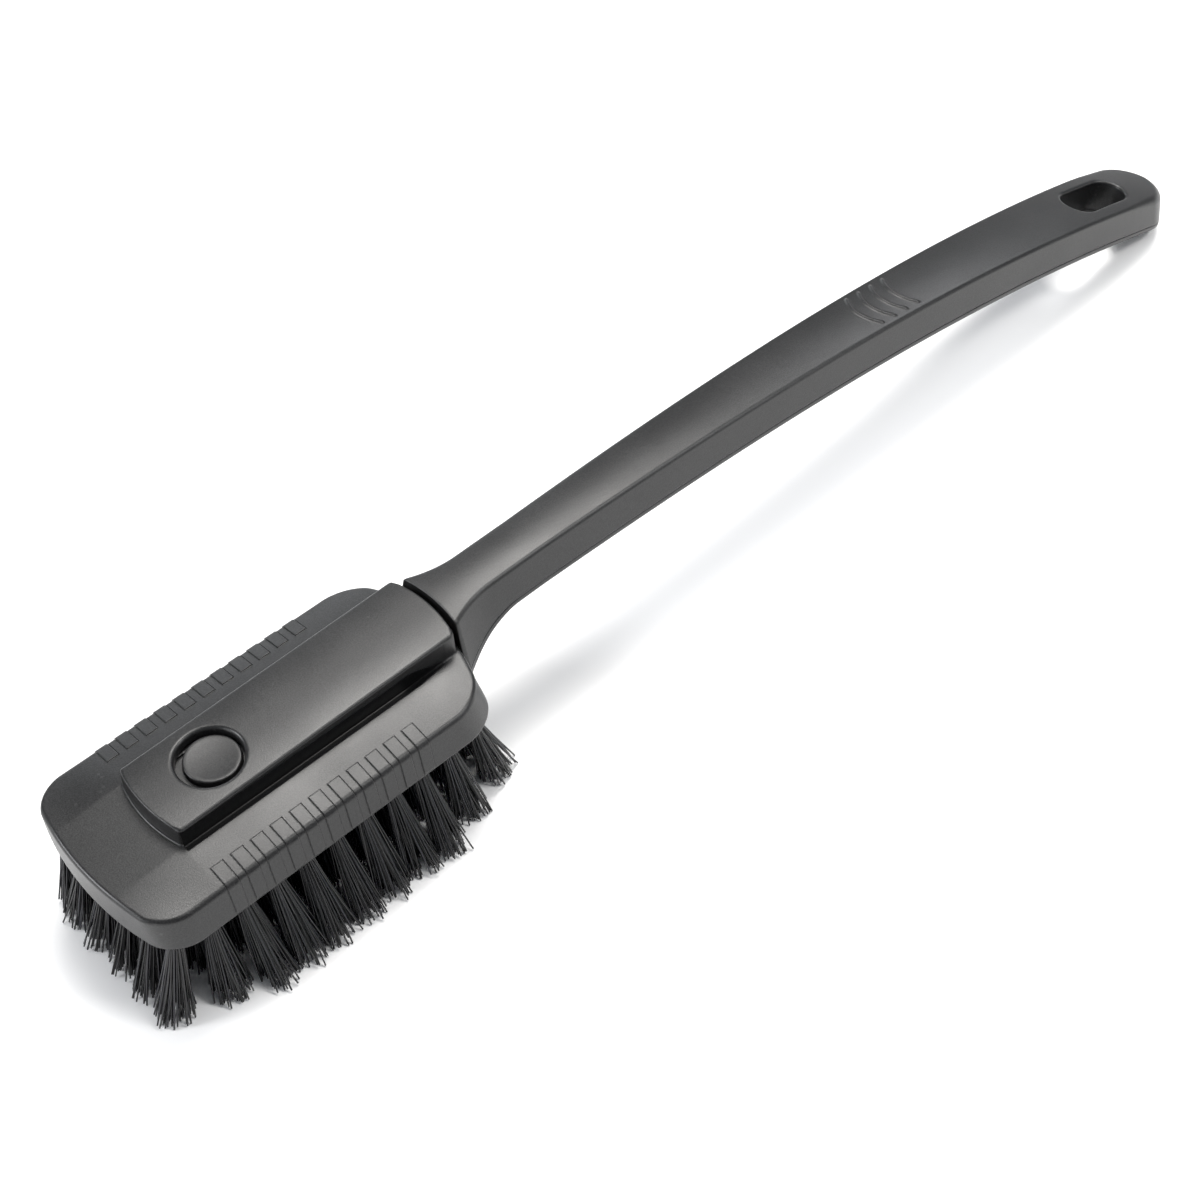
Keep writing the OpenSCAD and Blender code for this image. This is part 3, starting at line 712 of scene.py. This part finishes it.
GRAIN_DARK = (0.003, 0.003, 0.0033)
# Paler grey painted on convex edges as a painted highlight, not wear.
EDGE_HIGHLIGHT_GREY = (0.03, 0.03, 0.03, 1)


def new_material(name):
    """A material with its nodes, links and shader."""
    material = bpy.data.materials.new(name)
    material.use_nodes = True
    shader = material.node_tree.nodes["Principled BSDF"]
    return material, material.node_tree.nodes, material.node_tree.links, shader


def noise(nodes, links, coords, scale, detail=2.0, roughness=0.5):
    texture = nodes.new("ShaderNodeTexNoise")
    texture.inputs["Scale"].default_value = scale
    texture.inputs["Detail"].default_value = detail
    texture.inputs["Roughness"].default_value = roughness
    links.new(coords, texture.inputs["Vector"])
    return texture.outputs["Fac"]


def ramp(nodes, links, value, stops):
    """A colour ramp: each stop is (position, grey or colour)."""
    node = nodes.new("ShaderNodeValToRGB")
    elements = node.color_ramp.elements
    while len(elements) < len(stops):
        elements.new(0.5)
    for element, (position, colour) in zip(elements, stops):
        element.position = position
        element.color = (colour, colour, colour, 1) if isinstance(colour, float) else (*colour, 1)
    links.new(value, node.inputs["Fac"])
    return node.outputs["Color"]


def mix(nodes, links, kind, factor, a, b):
    """Blends a with b; each of the three inputs is a value or a socket."""
    node = nodes.new("ShaderNodeMix")
    node.data_type = "RGBA"
    node.blend_type = kind
    for value, socket in ((factor, node.inputs["Factor"]), (a, node.inputs["A"]), (b, node.inputs["B"])):
        if isinstance(value, (float, tuple)):
            socket.default_value = value
        else:
            links.new(value, socket)
    return node.outputs["Result"]


def moulded_plastic(name, dark, light, edge):
    """Fine-grained dark grey moulding with a satin sheen; its convex edges are smoother and carry a painted
    highlight in a paler grey.
    """
    material, nodes, links, shader = new_material(name)
    coords = nodes.new("ShaderNodeTexCoord").outputs["Object"]
    grain = noise(nodes, links, coords, 2600, 3.0, 0.6)
    cloud = noise(nodes, links, coords, 55, 3.0)
    speckle = ramp(nodes, links, grain, [(0.32, dark), (0.68, light)])
    patch = ramp(nodes, links, cloud, [(0.3, 0.86), (0.7, 1.0)])
    colour = mix(nodes, links, "MULTIPLY", 1.0, speckle, patch)
    # Convex edges, found by pointiness, get a painted highlight in paler grey and a lower roughness.
    pointed = nodes.new("ShaderNodeNewGeometry").outputs["Pointiness"]
    edge_highlight_mask = ramp(nodes, links, pointed, [(0.53, 0.0), (0.6, 0.8)])
    colour = mix(nodes, links, "MIX", edge_highlight_mask, colour, edge)
    links.new(colour, shader.inputs["Base Color"])
    gloss = ramp(nodes, links, cloud, [(0.3, 0.32), (0.7, 0.38)])
    gloss = mix(nodes, links, "MIX", edge_highlight_mask, gloss, (0.3, 0.3, 0.3, 1))
    links.new(gloss, shader.inputs["Roughness"])
    bump = nodes.new("ShaderNodeBump")
    shader.inputs["Specular IOR Level"].default_value = 0.4
    bump.inputs["Strength"].default_value = 0.35
    bump.inputs["Distance"].default_value = 0.00008
    links.new(grain, bump.inputs["Height"])
    links.new(bump.outputs["Normal"], shader.inputs["Normal"])
    return material


def bristle_plastic():
    """Black filament: each one differs a little in tone and gloss."""
    material, nodes, links, shader = new_material("bristle_filament")
    island = nodes.new("ShaderNodeNewGeometry").outputs["Random Per Island"]
    coords = nodes.new("ShaderNodeTexCoord").outputs["Object"]
    tone = ramp(nodes, links, island, [(0.0, (0.001, 0.001, 0.0014)), (0.7, (0.003, 0.003, 0.005)),
                                       (1.0, (0.03, 0.031, 0.04))])
    streak = ramp(nodes, links, noise(nodes, links, coords, 900, 2.0), [(0.3, 0.7), (0.7, 1.0)])
    links.new(mix(nodes, links, "MULTIPLY", 1.0, tone, streak), shader.inputs["Base Color"])
    links.new(ramp(nodes, links, island, [(0.0, 0.22), (0.7, 0.5), (1.0, 0.3)]), shader.inputs["Roughness"])
    return material


def anchor_steel():
    """Bare steel for the strips that hold the tufts."""
    material, nodes, links, shader = new_material("anchor_wire")
    shader.inputs["Metallic"].default_value = 1.0
    coords = nodes.new("ShaderNodeTexCoord").outputs["Object"]
    grain = noise(nodes, links, coords, 1800, 2.0)
    links.new(ramp(nodes, links, grain, [(0.3, 0.45), (0.7, 0.6)]), shader.inputs["Base Color"])
    links.new(ramp(nodes, links, grain, [(0.3, 0.28), (0.7, 0.4)]), shader.inputs["Roughness"])
    return material


def floor_material():
    """White, nearly matt."""
    material, nodes, links, shader = new_material("floor_white")
    coords = nodes.new("ShaderNodeTexCoord").outputs["Object"]
    links.new(ramp(nodes, links, noise(nodes, links, coords, 6, 2.0), [(0.3, 0.94), (0.7, 0.96)]),
              shader.inputs["Base Color"])
    shader.inputs["Roughness"].default_value = 0.8
    shader.inputs["Specular IOR Level"].default_value = 0.1
    return material


# ---- Stage, lights and camera ----

LIGHT_RANGE = 3.0                          # distance of every light, metres
FLOOR_SIZE = 30
FLOOR_DROP = 0.0002                        # the floor lies this far below the bristle tips
WORLD_STRENGTH = 0.25


def softbox(name, azimuth, elevation, wide, tall, radiance, colour):
    """A distant panel of light: its direction in degrees, and its size in metres."""
    a, e = math.radians(azimuth), math.radians(elevation)
    place = Vector((math.cos(a) * math.cos(e), math.sin(a) * math.cos(e), math.sin(e))) * LIGHT_RANGE
    light = bpy.data.lights.new(name, "AREA")
    light.shape = "RECTANGLE"
    light.size, light.size_y = wide, tall
    light.energy = radiance * math.pi * wide * tall
    light.color = colour
    obj = bpy.data.objects.new(name, light)
    obj.location = place
    obj.rotation_euler = place.to_track_quat("Z", "Y").to_euler()
    bpy.context.scene.collection.objects.link(obj)


def make_stage():
    bpy.ops.mesh.primitive_plane_add(size=FLOOR_SIZE, location=(0, 0, -FLOOR_DROP))
    floor = bpy.context.active_object
    floor.name = "floor"
    floor.data.materials.append(floor_material())
    world = bpy.data.worlds.new("studio")
    world.use_nodes = True
    background = world.node_tree.nodes["Background"]
    background.inputs["Color"].default_value = (0.9, 0.94, 1, 1)
    background.inputs["Strength"].default_value = WORLD_STRENGTH
    bpy.context.scene.world = world
    bpy.context.scene.view_settings.view_transform = "Standard"
    softbox("key", 42, 66, 1.0, 0.9, 25, (1, 0.98, 0.95))
    softbox("key_spill", 84, 67, 0.9, 0.8, 7, (1, 0.99, 0.97))
    softbox("front_right_high", -46, 54, 0.8, 0.8, 16, (1, 0.99, 0.97))
    softbox("right_back", 19, 37, 0.8, 0.8, 7, (0.97, 0.98, 1))
    softbox("overhead", -30, 76, 1.5, 0.8, 3, (1, 1, 1))
    softbox("front_right_low", -53, 30, 1.0, 1.2, 4, (0.97, 0.98, 1))
    softbox("back_low", 71, 22, 1.4, 0.8, 4, (0.94, 0.97, 1))
    softbox("left_back", 147, 27, 0.9, 0.6, 30, (0.97, 0.98, 1))
    softbox("left_low", 175, 13, 0.9, 0.5, 12, (0.97, 0.98, 1))


CAMERA_AZIMUTH, CAMERA_ELEVATION, CAMERA_ROLL = -42.47, 49.11, -1.29
CAMERA_LENS = 58.44
CAMERA_PLACE = (-82.8, -279.8, 438.2)      # millimetres from the block's front


def make_camera():
    a, e, roll = (math.radians(v) for v in (CAMERA_AZIMUTH, CAMERA_ELEVATION, CAMERA_ROLL))
    back = Vector((math.sin(a) * math.cos(e), -math.cos(a) * math.cos(e), math.sin(e)))
    right = Vector((math.cos(a), math.sin(a), 0))
    up = back.cross(right)
    right, up = (right * math.cos(roll) + up * math.sin(roll),
                 up * math.cos(roll) - right * math.sin(roll))
    camera = bpy.data.cameras.new("camera")
    camera.lens = CAMERA_LENS
    camera.sensor_width = 36
    obj = bpy.data.objects.new("camera", camera)
    obj.matrix_world = Matrix((right, up, back)).transposed().to_4x4()
    obj.location = Vector(CAMERA_PLACE) * MM + Vector((FRONT_X, 0, 0))
    bpy.context.scene.collection.objects.link(obj)
    bpy.context.scene.camera = obj


make_camera()
make_stage()
plastic = moulded_plastic("body_plastic", GRAIN_DARK, (0.021, 0.021, 0.0215), EDGE_HIGHLIGHT_GREY)
button = moulded_plastic("button_plastic", GRAIN_DARK, (0.022, 0.022, 0.0225), EDGE_HIGHLIGHT_GREY)
make_block(plastic)
make_handle(plastic)
make_tongue(button)
make_bristles(bristle_plastic())
steel = anchor_steel()
for name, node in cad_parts.items():
    if name.startswith("anchor_row_"):
        node.data.materials.clear()
        node.data.materials.append(steel)
